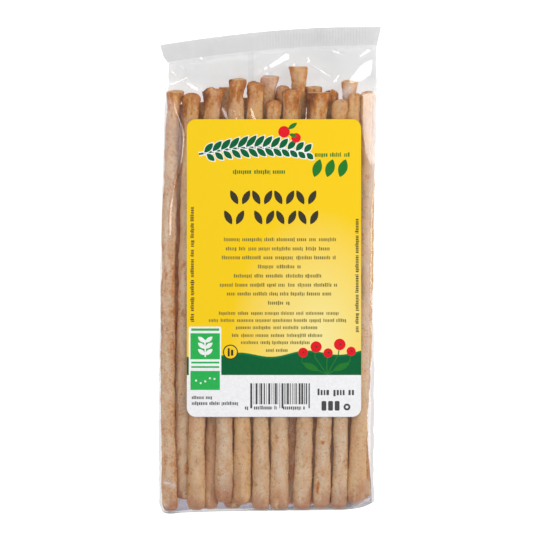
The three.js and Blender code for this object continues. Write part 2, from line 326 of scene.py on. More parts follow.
def loft_faces(rings, around, open_start=False, open_end=False):
    """Quads between rings of points, each ring a closed loop, and a face over each closed end."""
    ring, k = np.meshgrid(np.arange(rings - 1), np.arange(around), indexing="ij")
    a = ring * around + k
    b = ring * around + (k + 1) % around
    faces = np.stack([a, b, b + around, a + around], -1).reshape(-1, 4).tolist()
    if not open_start:
        faces.append(list(range(around))[::-1])
    if not open_end:
        faces.append(list(range((rings - 1) * around, rings * around)))
    return faces


# ---- Material nodes ----

def new_material(name):
    """A material, its empty node tree and the place on the object, for the nodes to read."""
    material = bpy.data.materials.new(name)
    material.use_nodes = True
    tree = material.node_tree
    tree.nodes.clear()
    return material, tree, add(tree, "TexCoord").outputs["Object"]


def add(tree, kind, inputs=None, **settings):
    """Adds a shader node, with its settings and its inputs: a socket is linked, a value is set."""
    node = tree.nodes.new("ShaderNode" + kind)
    for key, value in settings.items():
        setattr(node, key, value)
    for key, value in (inputs or {}).items():
        socket = node.inputs[key]
        if isinstance(value, bpy.types.NodeSocket):
            tree.links.new(value, socket)
        else:
            socket.default_value = value
    return node


def calculate(tree, operation, *values):
    return add(tree, "Math", dict(enumerate(values)), operation=operation).outputs[0]


def stored(tree, name):
    """The values that mark stores under a name at the points of a mesh."""
    return add(tree, "Attribute", attribute_name=name).outputs["Fac"]


def rgba(colour):
    return (*colour, 1.0)


def blend_colours(tree, factor, first, second, blend="MIX"):
    node = add(tree, "Mix", data_type="RGBA", blend_type=blend)
    for socket, value in ((node.inputs[0], factor), (node.inputs[6], first), (node.inputs[7], second)):
        if isinstance(value, bpy.types.NodeSocket):
            tree.links.new(value, socket)
        else:
            socket.default_value = value if isinstance(value, float) else rgba(value)
    return node.outputs[2]


def times(tree, colour, share):
    return blend_colours(tree, 1.0, colour, share, blend="MULTIPLY")


def span(tree, value, low, high, to_low=0.0, to_high=1.0):
    node = add(tree, "MapRange", {"Value": value, "From Min": low, "From Max": high,
                                  "To Min": to_low, "To Max": to_high})
    return node.outputs[0]


def noise(tree, coordinates, scale, detail=2.0, roughness=0.5):
    node = add(tree, "TexNoise", {"Vector": coordinates, "Scale": scale, "Detail": detail,
                                  "Roughness": roughness})
    return node.outputs["Fac"]


def bumps(tree, height, strength, distance):
    return add(tree, "Bump", {"Height": height, "Strength": strength, "Distance": distance}).outputs[0]


def finish_surface(tree, shader):
    add(tree, "OutputMaterial", {"Surface": shader})


def printed(tree, colour):
    """The satin surface of a printed label."""
    surface = add(tree, "BsdfPrincipled", {"Base Color": colour, "Roughness": 0.45,
                                           "Specular IOR Level": 0.15})
    finish_surface(tree, surface.outputs[0])


# ---- Bread ----

PALE_CRUST = (0.77, 0.640, 0.490)
GOLDEN_CRUST = (0.80, 0.450, 0.150)
MOTTLED_CRUST = (0.70, 0.440, 0.250)
BLOTCH_CRUST = (0.60, 0.300, 0.120)
BROWN_CRUST = (0.56, 0.195, 0.028)
DARK_CRUST = (0.22, 0.060, 0.012)
SPECK = (0.27, 0.115, 0.050)
# the feet's ends, and painted shade on the back row in the gaps
FOOT_AND_GAP_SHADE_CRUST = (0.44, 0.168, 0.088)
CRUMB = (0.74, 0.52, 0.34)


def specks(tree, place, scale, share):
    """Small dark bits of bran in the dough, in all cells of a grid but a share of them."""
    cells = add(tree, "TexVoronoi", {"Vector": place, "Scale": scale, "Randomness": 1.0})
    near = span(tree, cells.outputs["Distance"], 0.10, 0.34, 1.0, 0.0)
    chosen = add(tree, "SeparateColor", {"Color": cells.outputs["Color"]}).outputs[0]
    kept = span(tree, chosen, share, share + 0.1, 0.0, 0.6)
    return calculate(tree, "MULTIPLY", near, kept)


def bread_material():
    material, tree, place = new_material("bread_crust")
    tone = stored(tree, "tone")
    brown = stored(tree, "brown")
    stretched = add(tree, "Mapping", {"Vector": place, "Scale": (1.0, 0.45, 1.0)}).outputs[0]

    patches = span(tree, noise(tree, stretched, 190.0, 3.0), 0.42, 0.72)
    blotches = span(tree, noise(tree, place, 520.0, 4.0, 0.6), 0.50, 0.72, 0.0, 0.55)
    grain = span(tree, noise(tree, place, 1700.0, 3.0, 0.6), 0.35, 0.75, 0.0, 0.45)
    uneven = span(tree, noise(tree, stretched, 260.0, 4.0, 0.6), 0.3, 0.7, -1.0, 1.0)
    contrast = span(tree, brown, 0.0, 0.8, 0.22, 0.62)
    fine_bake = span(tree, noise(tree, place, 700.0, 4.0, 0.65), 0.3, 0.7, -0.34, 0.34)
    baked_and_shaded = calculate(tree, "ADD", calculate(tree, "MULTIPLY_ADD", uneven, contrast, brown), fine_bake)
    light_brown, deep_brown = span(tree, baked_and_shaded, 0.1, 0.75), span(tree, baked_and_shaded, 0.9, 1.6)

    # The brown, tone and foot marks carry painted shade besides the crust's own colour: browner, more
    # golden flanks and undersides and a darker back row, where the sticks round away from the light and
    # meet in the gaps.
    colour = PALE_CRUST
    for share, over in ((tone, GOLDEN_CRUST), (patches, MOTTLED_CRUST), (blotches, BLOTCH_CRUST),
                        (grain, MOTTLED_CRUST), (light_brown, BROWN_CRUST), (deep_brown, DARK_CRUST),
                        (stored(tree, "foot"), FOOT_AND_GAP_SHADE_CRUST), (specks(tree, place, 430.0, 0.84), SPECK),
                        (specks(tree, place, 820.0, 0.66), SPECK)):
        colour = blend_colours(tree, share, colour, over)
    crumb = blend_colours(tree, span(tree, noise(tree, place, 900.0), 0.35, 0.65), CRUMB, GOLDEN_CRUST)
    cut = span(tree, stored(tree, "face"), 0.0, 1.0, 0.0, 0.75)
    colour = blend_colours(tree, cut, colour, crumb)

    bump = bumps(tree, noise(tree, place, 900.0, 5.0, 0.7), 0.8, 0.0005)
    shader = add(tree, "BsdfPrincipled", {
        "Base Color": colour, "Roughness": 0.78, "Specular IOR Level": 0.25,
        "Subsurface Weight": 0.4, "Subsurface Radius": (1.0, 0.4, 0.2), "Subsurface Scale": 0.005,
        "Normal": bump})
    finish_surface(tree, shader.outputs[0])
    return material


# ---- The sticks ----

STATION_STEP = 8.0
AROUND = 40
POLE = 0.04  # share of the radius left at a rounded end, which one small face closes
CLEARANCE, BACK_CLEARANCE, SIDE_CLEARANCE = 0.5, 0.65, 0.6  # to the front film, floor and sides
FOOT_LEVEL, FOOT_DROOP = -112.0, 1.3  # the feet bend towards the middle of the bag's closed end
LAST_STATION = 105.0
FOOT_SINK_RUN, TIP_SINK_RUN = (0.6, 0.1), (0.5, 0.82)  # along a stick, from its row to the full sink
SETTLING_ROUNDS = 400
PUSH, PULL_ACROSS, PULL_UP, STIFFNESS = 0.25, 0.02, 0.05, 0.3  # the share of each made in one round


def way_of(stick):
    """The points (y, x) that a stick's middle line runs through."""
    return [stick.foot[::-1], (KNEE_LEVEL, stick.knee), *stick.middle, stick.tip[::-1]]


def stick_lines():
    """Pushes the sticks apart and inside the film, and returns each one's middle line as two rules
    of y: x and z. Neighbours still run into each other, by up to 1.3 mm."""
    stations = np.arange(BOTTOM_END, LAST_STATION, STATION_STEP)
    count = len(STICKS)
    radius = np.array([stick.radius for stick in STICKS])[:, None]
    foot, tip, sink = (np.array([getattr(stick, name) for stick in STICKS])
                       for name in ("foot", "tip", "sink"))
    along = (stations[None, :] - foot[:, 1:]) / (tip[:, 1:] - foot[:, 1:])
    wanted = np.array([smooth_through(way_of(stick), stations) for stick in STICKS])
    towards_end = ramp(FOOT_LEVEL, BOTTOM_END, stations)
    low = BACK_CLEARANCE + radius + 0.5 * FOOT_DROOP * towards_end + np.zeros_like(wanted)
    front = np.array([stick.row == "front" for stick in STICKS])[:, None]
    sunk = sink[:, :1] * ramp(*FOOT_SINK_RUN, along) + sink[:, 1:] * ramp(*TIP_SINK_RUN, along)
    raised = CREST - CLEARANCE - radius - sunk - FOOT_DROOP * towards_end
    x = wanted.copy()
    settled = np.where(front, raised, low - sunk)
    z = settled.copy()
    reaches = (stations[None, :] > foot[:, 1:] - STATION_STEP) & (
        stations[None, :] < tip[:, 1:] + STATION_STEP)
    reach = np.array([stick_radius(stick, stick.tip[1] - stations) for stick in STICKS])
    left, right = sides(stations)
    left, right = left + reach + SIDE_CLEARANCE, right - reach - SIDE_CLEARANCE
    touching = radius + radius.T
    for _ in range(SETTLING_ROUNDS):
        dx = x[:, None, :] - x[None, :, :]
        dz = z[:, None, :] - z[None, :, :]
        distance = np.sqrt(dx**2 + dz**2) + 1e-6
        both = reaches[:, None, :] & reaches[None, :, :]
        push = np.clip(touching[:, :, None] - distance, 0, None) * both
        push[np.arange(count), np.arange(count)] = 0
        x = x + (push * dx / distance).sum(1) * PUSH + (wanted - x) * PULL_ACROSS
        z = z + (push * dz / distance).sum(1) * PUSH
        z = z + (settled - z) * PULL_UP
        for value in (x, z):
            value[:, 1:-1] += STIFFNESS * (value[:, :-2] + value[:, 2:] - 2 * value[:, 1:-1])
        x = np.clip(x, left, right)
        roof = front_form(x, np.maximum(stations, FOOT_LEVEL)[None, :] + 0 * x) - CLEARANCE - radius
        z = np.minimum(np.maximum(z, low), np.maximum(roof, low))

    def line(value):
        points = list(zip(stations, value))
        return lambda y: smooth_through(points, y)

    return [(line(x[i]), line(z[i])) for i in range(count)]


# The unevenness of hand-rolled dough: broad swells, lumps and a fine grain. Each kind has the
# number of waves round the stick, their length along it, their height and how many there are.
RELIEF = [((0, 1), (35, 80), 0.08, 5), ((1, 4), (12, 40), 0.055, 12),
          ((2, 8), (5, 14), 0.032, 22), ((4, 14), (2, 5), 0.017, 34)]
SPOTS, SPOT_REACH, SPOT_HEIGHTS = 60, (0.6, 1.5), (-0.28, -0.18, 0.14, 0.2)  # pits and blisters


def surface_waves(rng, along, angle):
    total = np.zeros_like(along + angle)
    for turns, wave, size, count in RELIEF:
        for _ in range(count):
            m = rng.integers(turns[0], turns[1] + 1)
            q = 2 * math.pi / rng.uniform(*wave) * rng.choice((-1, 1))
            total += size * np.cos(m * angle + q * along + rng.uniform(0, 2 * math.pi))
    return total


def turned_from(angle, turn):
    """How far round a stick each angle is from a turn, from minus to plus half a circle."""
    return (angle - turn + math.pi) % (2 * math.pi) - math.pi


def pits_and_blisters(rng, along, angle, radius, length):
    total = np.zeros_like(along + angle)
    for _ in range(SPOTS):
        at, turn = rng.uniform(2, length - 2), rng.uniform(0, 2 * math.pi)
        reach = rng.uniform(*SPOT_REACH)
        height = rng.choice(SPOT_HEIGHTS)
        around = turned_from(angle, turn)
        total += height * np.exp(-(((along - at) / reach) ** 2 + (around * radius / reach) ** 2))
    return total


# A cut tip's section: how far each ring is back from the end, and its share of the radius.
CUT_TIP = [(1.1, 1.0), (0.55, 0.985), (0.2, 0.95), (0.03, 0.86), (0.0, 0.66), (0.06, 0.42),
           (0.12, 0.2), (0.14, POLE)]
FOOT_LENGTH, TIP_LENGTHS = 0.95, {"round": 0.85, "lobed": 0.5}  # of the rounding, in radii
FOOT_RINGS, TIP_RINGS, TIP_SHAPE = 8, 9, 0.75
RING_STEP, TIP_RING_STEP, FINE_RUN = 1.25, 0.6, 30.0  # rings are closer in the run under the tip


def stick_profile(stick, length, foot_power):
    """Distances along the stick where it has a ring, and each ring's share of the radius."""
    steps = np.linspace(0, math.pi / 2, FOOT_RINGS)
    foot_reach = stick.radius * FOOT_LENGTH
    foot_along = foot_reach * (1 - np.cos(steps))
    foot_share = np.clip(np.sin(steps) ** foot_power, POLE, 1)
    if stick.end == "cut":
        tip_back, tip_share = np.array(CUT_TIP).T
    else:
        reach = stick.wide * TIP_LENGTHS[stick.end]
        turned = np.linspace(math.pi / 2, 0, TIP_RINGS)
        tip_back = reach * (1 - np.cos(turned))
        tip_share = np.clip(np.sin(turned) ** TIP_SHAPE, POLE, 1)
    body = np.arange(foot_reach + 1.2, length - FINE_RUN, RING_STEP)
    fine = np.arange(length - FINE_RUN, length - tip_back[0] - 0.4, TIP_RING_STEP)
    along = np.concatenate([foot_along, body, fine, length - tip_back])
    share = np.concatenate([foot_share, np.ones(len(body) + len(fine)), tip_share])
    return along, share


FOOT_SWELL, SWELL_MIDDLE, SWELL_REACH = 0.12, 9.0, 13.0
NECK_MIDDLE, NECK_REACH, FLARE = 9.0, 7.0, 10.0  # back from the tip
GROOVES = {"lobed": 0.44, "cut": 0.22, "round": 0.22}  # depth of the wrinkles at the tip
RAGGED = {"lobed": 0.9, "cut": 0.3, "round": 0.15}  # how far the tip's rim wavers
FIRST_SEED, A_TURN = 400, 6.28


def ripple(rng, turns, angle, twist=0.0):
    return np.cos(turns * angle + rng.uniform(0, A_TURN) + twist)


def build_stick(number, stick, line, material):
    """One grissino: rings of points round its middle line, wrinkled and ragged at the tip."""
    rng = np.random.default_rng(FIRST_SEED + number)
    x_line, z_line = line
    length = stick.tip[1] - stick.foot[1]
    ring_at, share = stick_profile(stick, length, rng.uniform(0.5, 0.85))
    along = ring_at[:, None]
    angle = np.linspace(0, 2 * math.pi, AROUND, endpoint=False)[None, :]
    from_tip = length - along
    radius = stick_radius(stick, from_tip) * (1 + 0.03 * ripple(rng, 2, angle))
    relief = surface_waves(rng, along, angle)
    relief = relief + pits_and_blisters(rng, along, angle, stick.radius, length)
    wrinkled = ramp(20, 3, from_tip) * GROOVES[stick.end]
    folds = ripple(rng, rng.integers(4, 7), angle, 0.08 * along)
    folds = folds + 0.7 * ripple(rng, rng.integers(7, 11), angle, -0.05 * along)
    outer = np.minimum(radius + relief + wrinkled * folds, stick_radius(stick, from_tip) + 0.3)
    outer = np.minimum(outer, facets(rng, stick, from_tip, angle)) * share[:, None]
    ragged = ripple(rng, 2, angle) + 0.6 * ripple(rng, 3, angle)
    ragged = ragged - 1.2 + 0.5 * ripple(rng, 5, angle)
    y = stick.foot[1] + along + 0.5 * RAGGED[stick.end] * ragged * ramp(3, 0, from_tip)
    lean = stick.bevel if stick.end == "cut" else 0
    y = y - lean * (0.5 + 0.5 * share[:, None] * np.cos(angle)) * ramp(9, 0, from_tip)
    tall = stick.radius / np.maximum(stick_radius(stick, from_tip), stick.radius)
    px = x_line(y) + outer * np.sin(angle)
    pz = z_line(y) + outer * np.cos(angle) * tall
    points = np.stack([px, y + 0 * px, pz], -1).reshape(-1, 3)
    faces = loft_faces(len(ring_at), AROUND)
    piece = make_mesh(f"grissino_{number:02d}", points, faces, [material])
    bake(piece, number, stick, rng, along, angle, y, share[:, None])
    return piece


def bake(piece, number, stick, rng, along, angle, y, share):
    """Marks each point of a stick with how golden and brown it is, for the bread's material. The flanks,
    the underside and the back row's length in the gaps get painted shade: browner and more golden where the
    sticks round away from the light and meet in the gaps.
    """
    from_tip = stick.tip[1] - stick.foot[1] - along
    skin = stick.radius * angle
    swell = waves(rng, 8, 40, 7)(along, skin)
    streak = waves(rng, 10, 7, 2)(skin, along, 4.0)
    near = np.clip(1 - from_tip / (32 + 6 * swell), 0, 1)
    # Painted shade: the flanks, the left flank and the underside are marked browner and more golden, where
    # the sticks round away from the light and meet in the gaps.
    side = np.sin(angle) ** 2
    underside_shade = ramp(0.2, -0.6, np.cos(angle))
    left = ramp(0.1, -0.9, np.sin(angle))
    top = 0.55 * ramp(15 + 3 * streak, 3, from_tip)
    # The tip's real browning, with painted shade on its flanks and underside.
    brown = stick.browning * (top + near**0.6 * (0.35 * side + 0.42 * left + 0.35 * underside_shade))
    brown = brown + 0.2 * streak * near**0.5 * stick.browning
    rim = 0.12 * ramp(1.8, 0.1, from_tip) + 0.08 * stick.browning * ramp(6, 0.5, from_tip)
    end = 0.12 * ramp(9 + 2 * swell, 0.5, along)
    patch = 0.25 * ramp(1.0, 2.2, waves(rng, 9, 20, 4)(along, skin))
    # Painted shade: the back row is browner and duller along the length that lies in the gaps between the
    # front sticks.
    gap_shade = (stick.row == "back") * ramp(30, 60, from_tip) * ramp(3, 12, along)
    # Painted shade again on the flanks and underside; each stick's bake is painted shade, or painted light
    # where negative.
    baked_and_shaded = brown + rim + end + patch + 0.25 * gap_shade + 0.20 * side**2 + 0.3 * underside_shade + stick.bake
    baked_and_shaded = baked_and_shaded + 0.8 * scorched(number, y, angle, stick.radius)
    # The feet's own browner ends, and painted shade on the back row.
    foot = 0.70 * ramp(12 + 4 * swell + 2 * streak, 0.0, along) + 0.4 * gap_shade
    face = (stick.end == "cut") * ramp(0.99, 0.84, share) * ramp(3, 1.2, from_tip)
    mark(piece, "brown", np.clip(baked_and_shaded, 0, 1.5) * np.ones_like(angle))
    # Golden towards the tip, and on the flanks as painted shade.
    mark(piece, "tone", stick.tone * 0.7 + 0.8 * ramp(60, 12, from_tip) + 0.5 * side)
    mark(piece, "face", face + 0 * angle)
    mark(piece, "foot", np.clip(foot, 0, 0.75))


def facets(rng, stick, from_tip, angle):
    """The flat sides that the dough got where its end was pinched: the radius out to the nearest."""
    reach = np.full_like(from_tip + angle, np.inf)
    for _ in range(3):
        turn, depth, end = rng.uniform(-1.7, 1.7), rng.uniform(0.86, 0.96), rng.uniform(9, 22)
        facing = np.cos(angle - turn - 0.015 * from_tip)
        level = stick_radius(stick, from_tip) * lerp(1.12, depth, ramp(end, 0.35 * end, from_tip))
        reach = np.minimum(reach, np.where(facing > 0.5, level / np.maximum(facing, 0.5), np.inf))
    return reach


def scorched(number, y, angle, radius):
    """The dark spots of one stick, from 0 to 1."""
    total = np.zeros_like(y + angle)
    for spot in SCORCHES:
        if spot.number == number:
            apart = ((y - spot.y) / spot.long) ** 2
            apart = apart + (turned_from(angle, spot.turn) * radius / spot.wide) ** 2
            total = total + np.exp(-1.2 * apart)
    return total


def foot_swell(along):
    """How much thicker than its body a stick is towards its foot."""
    return 1 + FOOT_SWELL * np.exp(-(((along - SWELL_MIDDLE) / SWELL_REACH) ** 2))


def stick_radius(stick, from_tip):
    """The radius across the pack: the body's, the neck's a little under the tip, then the tip's."""
    neck = 1 - stick.neck * np.exp(-(((from_tip - NECK_MIDDLE) / NECK_REACH) ** 2))
    body = stick.radius * neck * foot_swell(stick.tip[1] - stick.foot[1] - from_tip)
    return lerp(body, stick.wide, ramp(FLARE, 0, from_tip))


# Where a stick's end stops carrying the film: how far from its end, and the drop beyond.
FOOT_SHORT, TIP_SHORT, END_REACH, END_DROP = 2.0, 1.0, 2.5, 0.6


def stick_section(stick, line, x, y, margin=0.0):
    """Which points are over the stick, grown by a margin, and how tall its half section is there."""
    reach = stick_radius(stick, stick.tip[1] - y) + margin
    inside = reach**2 - (x - line[0](y)) ** 2
    tall = np.minimum((stick.radius + margin) / reach, 1)
    return inside > 0, np.sqrt(np.clip(inside, 0, None)) * tall


def stick_tops(lines, x, y):
    """The height of the highest stick over each point, or 0 where there is none."""
    top = np.zeros_like(x)
    for stick, line in zip(STICKS, lines):
        inside, half = stick_section(stick, line, x, y)
        past = np.maximum(stick.foot[1] + FOOT_SHORT - y, y - (stick.tip[1] - TIP_SHORT))
        over = line[1](y) + half - END_DROP * np.clip(past, 0, END_REACH) ** 2
        top = np.where(inside & (past < END_REACH), np.maximum(top, over), top)
    return top


def stick_bottoms(lines, x, y, margin):
    """The height of the lowest stick over each point, or the front row's crest where there is none."""
    bottom = np.full_like(x, CREST)
    for stick, line in zip(STICKS, lines):
        inside, half = stick_section(stick, line, x, y, margin)
        reached = inside & (y > stick.foot[1] - 1) & (y < stick.tip[1] + 2)
        bottom = np.where(reached, np.minimum(bottom, line[1](y) - half), bottom)
    return bottom


# ---- Film ----

# The back film's tint past the tips is darker than elsewhere: painted shade, for the dim floor seen through
# the empty film.
FRONT_TINT, BACK_TINT, SLACK_SHADE_TINT, SEAL_TINT = (0.98,) * 3, (0.922,) * 3, (0.73,) * 3, (0.815,) * 3
# The folded fin of the closed end is tinted darker than its layers give: partly painted shade of the floor
# under the closed end.
FOLDED_FIN_AND_SHADE_TINT, SEAM_TINT = (0.745, 0.73, 0.785), (0.993,) * 3
FILM_WHITE = (0.88, 0.88, 0.92)
SLACK_START, SLACK_END = 84.0, 97.0
FOLD_SHADE = 0.80  # how much of the light a close fold of the film lets through; at the bag's sides and closed end it is partly painted shade
SQUARE_ON_MIRROR = 0.075  # share of the light that the film mirrors where it is seen square-on


def film_material(name, haze, tint, mirror_share=SQUARE_ON_MIRROR, roughness=0.16, slack_shade_tint=None):
    """Clear film: it darkens what lies under it a little, mirrors the lights and has a faint haze.
    A share of white read from the mesh is painted sheen where the film would mirror a broad light, and
    the fold mark darkens it: creased film, with painted shade along the bag's sides and closed end.
    The tint past the tips (the last argument) is darker, as painted shade for the dim floor seen
    through the empty film."""
    material, tree, place = new_material(name)
    cloud = span(tree, noise(tree, place, 60.0, 3.0), 0.3, 0.7, 0.6 * haze, 1.4 * haze)
    # Painted sheen: a share of white where the film would mirror a broad light.
    painted_sheen = stored(tree, "painted_sheen")
    streaky = span(tree, noise(tree, place, 240.0, 3.0), 0.3, 0.7, 0.75, 1.2)
    cloud = calculate(tree, "MULTIPLY_ADD", painted_sheen, streaky, cloud)
    bump = bumps(tree, noise(tree, place, 420.0, 2.0), 0.15, 0.0001)
    along = add(tree, "SeparateXYZ", {"Vector": place}).outputs["Y"]
    past = span(tree, along, SLACK_START * MM, SLACK_END * MM)
    soft = span(tree, noise(tree, place, 55.0, 4.0, 0.6), 0.3, 0.7, 0.965, 1.015)
    pressed = stored(tree, "fold")
    even = times(tree, blend_colours(tree, past, tint, slack_shade_tint or tint), soft)
    even = times(tree, even, span(tree, pressed, 0.0, 1.0, 1.0, FOLD_SHADE))
    clear = add(tree, "BsdfTransparent", {"Color": even})
    gloss = add(tree, "BsdfAnisotropic", {"Color": rgba((1.0,) * 3), "Roughness": roughness,
                                          "Normal": bump})
    tilt = add(tree, "LayerWeight", {"Blend": 0.5}).outputs["Facing"]
    mirror = span(tree, calculate(tree, "POWER", tilt, 5.0), 0.0, 1.0, mirror_share, 1.0)
    mirror = calculate(tree, "MULTIPLY", mirror, span(tree, pressed, 0.0, 1.0, 1.0, 0.3))
    veil = add(tree, "BsdfDiffuse", {"Color": rgba(FILM_WHITE)})
    coated = add(tree, "MixShader", {0: mirror, 1: clear.outputs[0], 2: gloss.outputs[0]})
    surface = add(tree, "MixShader", {0: cloud, 1: coated.outputs[0], 2: veil.outputs[0]})
    finish_surface(tree, surface.outputs[0])
    return material


def beside_line(x, y, start, end):
    """How far along a line each point is, from 0 to 1, and how far beside it and past its ends."""
    run_x, run_y = end[0] - start[0], end[1] - start[1]
    size = math.hypot(run_x, run_y)
    t = ((x - start[0]) * run_x + (y - start[1]) * run_y) / size**2
    beside = np.abs((y - start[1]) * run_x - (x - start[0]) * run_y) / size
    return np.clip(t, 0, 1), beside, size * np.maximum(np.maximum(-t, t - 1), 0)


def lay_patches(x, y, z, crinkle):
    """Turns the film's small folds to the lights: inside a patch the film is nearly flat and tilted."""
    for patch in PATCHES:
        t, beside, past = beside_line(x, y, patch.start, patch.end)
        wide = lerp(patch.wide_start, patch.wide_end, t)
        outside = np.hypot(np.maximum(beside - wide, 0), past)
        middle = np.add(patch.start, patch.end) / 2
        nearest = np.argmin((x - middle[0]) ** 2 + (y - middle[1]) ** 2)
        slope_x, slope_y = mirror_slopes(patch.faces, *middle)
        plane = z.flat[nearest] + slope_x * (x - middle[0]) + slope_y * (y - middle[1]) + crinkle
        z = lerp(z, plane, ramp(PATCH_EDGE, 0, outside))
    return z


def lay_creases(x, y, z):
    """Tilts the film along each crease, across the crease only, so that it stays on the sticks."""
    slope_x = np.gradient(z, axis=1) / np.gradient(x, axis=1)
    slope_y = np.gradient(z, axis=0) / np.gradient(y, axis=0)
    for crease in CREASES:
        way = np.array(crease.points, float)
        gone = np.concatenate([[0], np.cumsum(np.hypot(*np.diff(way, axis=0).T))])
        along = np.linspace(0, gone[-1], CREASE_POINTS)
        line = np.stack([smooth_through(list(zip(gone, way[:, k])), along) for k in (0, 1)], -1)
        heading = np.gradient(line, axis=0)
        heading /= np.hypot(*heading.T)[:, None]
        reach = 3 * max(crease.start, crease.end)
        (left, low), (right, high) = line.min(0) - reach, line.max(0) + reach
        rows, columns = np.nonzero((x > left) & (x < right) & (y > low) & (y < high))
        px, py = x[rows, columns], y[rows, columns]
        nearest = np.argmin((px[:, None] - line[:, 0]) ** 2 + (py[:, None] - line[:, 1]) ** 2, 1)
        tx, ty = heading[nearest].T
        away_x, away_y = px - line[nearest, 0], py - line[nearest, 1]
        across = away_x * ty - away_y * tx
        beyond = away_x * tx + away_y * ty
        t = nearest / (len(along) - 1)
        wide = lerp(crease.start, crease.end, t) * (0.3 + 0.7 * ramp(0, 0.12, t))
        wanted_x, wanted_y = mirror_slopes(RIGHT, px, py)
        wanted = wanted_x * ty - wanted_y * tx
        given = slope_x[rows, columns] * ty - slope_y[rows, columns] * tx
        tilt = (CREASE_TILT * wanted - given) * across * np.exp(-(across**2 + beyond**2) / wide**2)
        z[rows, columns] += tilt * ramp(1.0, 0.85, t)
    return z


def sheen_share(x, y, from_side):
    """How much white each point of the front film shows, as painted sheen where it would mirror a broad
    light.
    """
    total = LEFT_SHEEN * ramp(0, 1.2, smooth_through(LEFT_SHOULDER, y) - x) * ramp(*LEFT_SHEEN_LEVELS, y)
    total = total + SIDE_SHEEN * ramp(SIDE_SHEEN_REACH, 0.3, from_side) * ramp(*SIDE_SHEEN_END, y)
    low, high = RIGHT_SHEEN_LEVELS
    at_right = (x > 0) * ramp(*low, y) * ramp(*high, y)
    total = total + RIGHT_SHEEN * ramp(RIGHT_SHEEN_REACH, 0, from_side) * at_right
    for sheen_streak in SHEEN_STREAKS:
        _, beside, past = beside_line(x, y, sheen_streak.start, sheen_streak.end)
        total = total + sheen_streak.share * np.exp(-(beside**2 + past**2) / sheen_streak.wide**2)
    return np.clip(total, 0, MOST_SHEEN)


def mirror_slopes(side, x, y):
    """How a flat patch at (x, y) rises along X and Y if it mirrors a softbox to the camera above."""
    place = np.stack([x, y, FOLD_LEVEL + 0 * x])
    lamp, camera = np.array([side * SOFTBOX[0], *SOFTBOX[1:]]), np.array([0, 0, CAMERA_HEIGHT])
    to_lamp, to_camera = ((end - place.T).T for end in (lamp, camera))
    half = to_lamp / np.linalg.norm(to_lamp, axis=0) + to_camera / np.linalg.norm(to_camera, axis=0)
    return -half[0] / half[2], -half[1] / half[2]


PATCH_EDGE = 0.9  # how far a patch runs out into the film round it
CREASE_POINTS, CREASE_TILT = 80, 1.1  # the tilt is a share of what mirrors the softbox
FOLD_LEVEL = 12.0  # the height at which the folds catch the light
VALLEY_SHARE, DEEPEST_GAP = 0.10, 2.5  # how far the film dips into the gaps between the sticks
FRONT_COLUMNS, BACK_COLUMNS, CORNER_STEPS = 236, 60, 7
FILM_RINGS = [(-72.0, 1.0), (44.0, 2.2), (72.0, 0.8), (SLACK_TOP - 0.2, 0.42)]  # up to a Y, step
END_RINGS = 16
FILM_OFF_FLOOR = 0.12
FRONT_MARGIN, BACK_MARGIN = 0.2, 0.5  # how far the film keeps from the sticks
LABEL_MARGIN = 0.4  # round the label, where the film stays flat
LEAST_OPENING = 1.0  # between the film's slopes and the seal's level
PUSH_OUT = 1.5  # how far a stick may push the film out of its form
EASE_ROUNDS, EASE_SHARE = 24, 0.9
FINE_WAVE, BROAD_WAVE, BACK_WAVE = 0.05, 0.30, 0.8  # heights of the film's unevenness
EDGE_WAVE = 0.12  # how far the bag's sides waver
CORNER_TURN = (25, 60)  # where the corners of the section turn into creases
SIDE_FOLD, SIDE_FOLD_REACH = 0.6, 2.6  # the film's sides are creased and let less light through; the darkening is partly painted shade where they turn down to the floor
RIGHT_FOLDS, RIGHT_FOLD_LEVELS = (1.0, 0.25), (-65.0, 0.0)  # the right one mostly near the closed end
END_FOLD_REACH = 3.6  # so is the closed end, partly as painted shade where it meets the floor
CREASE_RADIUS = 0.5  # of the bag's sides past the tips
CRINKLE = 0.025  # how far a small fold wavers
BODY_SEED, SEAL_SEED, FOLD_SEED = 7, 11, 17


def film_stations():
    rounded = BOTTOM_END + END_ROUNDING * (1 - np.cos(np.linspace(0, math.pi / 2, END_RINGS)))
    runs, start = [rounded[:-1]], rounded[-1]
    for stop, step in FILM_RINGS:
        runs.append(np.arange(start, stop, step))
        start = stop
    return np.concatenate([*runs, [SLACK_TOP]])


def ease(z, low):
    """Draws a film tight over what lies under it."""
    inner = slice(1, -1)
    for _ in range(EASE_ROUNDS):
        mean = (z[:-2, inner] + z[2:, inner] + z[inner, :-2] + z[inner, 2:]) / 4
        z[inner, inner] = np.maximum(lerp(z[inner, inner], mean, EASE_SHARE), low[inner, inner])
    return z


def ring_columns(left, right, radius, front, back, x, xb):
    """One ring of the bag's section for each station: up the left side, over the front, and back."""
    turned = np.linspace(0, math.pi / 2, CORNER_STEPS + 1)[None, 1:]
    inset, drop = radius * (1 - np.sin(turned)), radius * (1 - np.cos(turned))
    columns = [
        (left + inset, back[:, :1] + drop),
        ((left + inset)[:, ::-1], (front[:, :1] - drop)[:, ::-1]),
        (x, front),
        (right - inset, front[:, -1:] - drop),
        ((right - inset)[:, ::-1], (back[:, -1:] + drop)[:, ::-1]),
        (xb[:, ::-1], back[:, ::-1]),
    ]
    return (np.concatenate([column[part] for column in columns], 1) for part in (0, 1))


